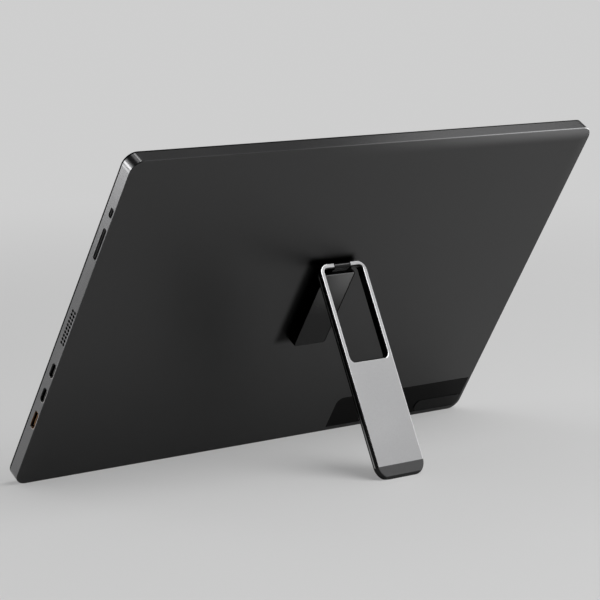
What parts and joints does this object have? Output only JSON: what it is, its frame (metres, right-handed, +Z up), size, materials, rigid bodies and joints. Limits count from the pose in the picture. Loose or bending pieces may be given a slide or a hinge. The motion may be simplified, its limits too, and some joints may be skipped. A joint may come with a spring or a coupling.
{
  "type": "portable monitor with folding leg stand",
  "caption": "Slim flat-panel portable monitor standing on a fold-out metal leg with a window, with side ports, side buttons and speaker grilles.",
  "frame": {"origin": "centre of the bounding box, on the surface that the monitor stands on", "axes": "+Z up, +X along the width towards the side with the ports and buttons, -Y the side the screen faces, +Y the side of the stand"},
  "size_m": [0.357, 0.1428, 0.201],
  "materials": {
    "anodised_shell": "fine matt anodised, dark grey",
    "satin_leg": "satin, fine bead-blasted",
    "dark_bracket": "dark anodised, semi-gloss",
    "front_glass": "glossy black glass",
    "cell_glass": "dark polarised glass",
    "black_plastic": "matt moulded",
    "button_plastic": "fine matt, dark grey",
    "white_sheet": "matt white film",
    "clear_acrylic": "clear acrylic",
    "steel": "plain rolled steel",
    "gold_plate": "gold-plated contacts and shell",
    "board_green": "solder mask",
    "cable_amber": "polyimide film",
    "foam": "closed-cell foam",
    "strip_gloss": "glossy black",
    "pad_rubber": "soft matt rubber",
    "foot_rubber": "firm matt rubber"
  },
  "bodies": {
    "monitor": {"rear_cover": "anodised_shell", "cover_glass": "front_glass", "glass_tape": "black_plastic", "panel_frame": "black_plastic", "lcd_cell": "cell_glass", "optical_films": "white_sheet", "light_guide": "clear_acrylic", "reflector_sheet": "white_sheet", "led_strip": "white_sheet", "panel_tray": "steel", "timing_board": "board_green", "display_cable": "cable_amber", "main_board": "board_green", "usb_c_upper": "steel", "usb_c_lower": "steel", "mini_hdmi": "gold_plate", "key_board": "board_green", "key_switches": "steel", "key_cable": "cable_amber", "board_screws": "steel", "speakers": "black_plastic", "speaker_gaskets": "foam", "rear_strip": "strip_gloss", "strip_pad": "pad_rubber", "stand_plate": "steel", "stand_screws": "steel", "stand_bracket": "dark_bracket", "friction_sleeves": "steel"},
    "stand": {"stand_leg": "satin_leg", "foot_cap": "foot_rubber", "hinge_pin": "steel", "hinge_washers": "steel"},
    "power_key": {"power_button": "button_plastic"},
    "volume_key": {"volume_rocker": "button_plastic"}
  },
  "joints": [
    {"name": "stand_hinge", "type": "hinge", "parent": "monitor", "child": "stand", "pos_m": [-0.0055, 0.01507, 0.12], "axis": [1, 0, 0], "range_deg": [-56.7, 33.3]},
    {"name": "power_press", "type": "slide", "parent": "monitor", "child": "power_key", "axis": [-1, 0, 0], "range_m": [0, 0.00035], "stiffness_N_per_m": 3000},
    {"name": "volume_rock", "type": "hinge", "parent": "monitor", "child": "volume_key", "pos_m": [0.17725, 0.02661, 0.14948], "axis": [0, 0.8473, -0.5312], "range_deg": [-1.8, 1.8], "stiffness_Nm_per_rad": 0.3}
  ]
}
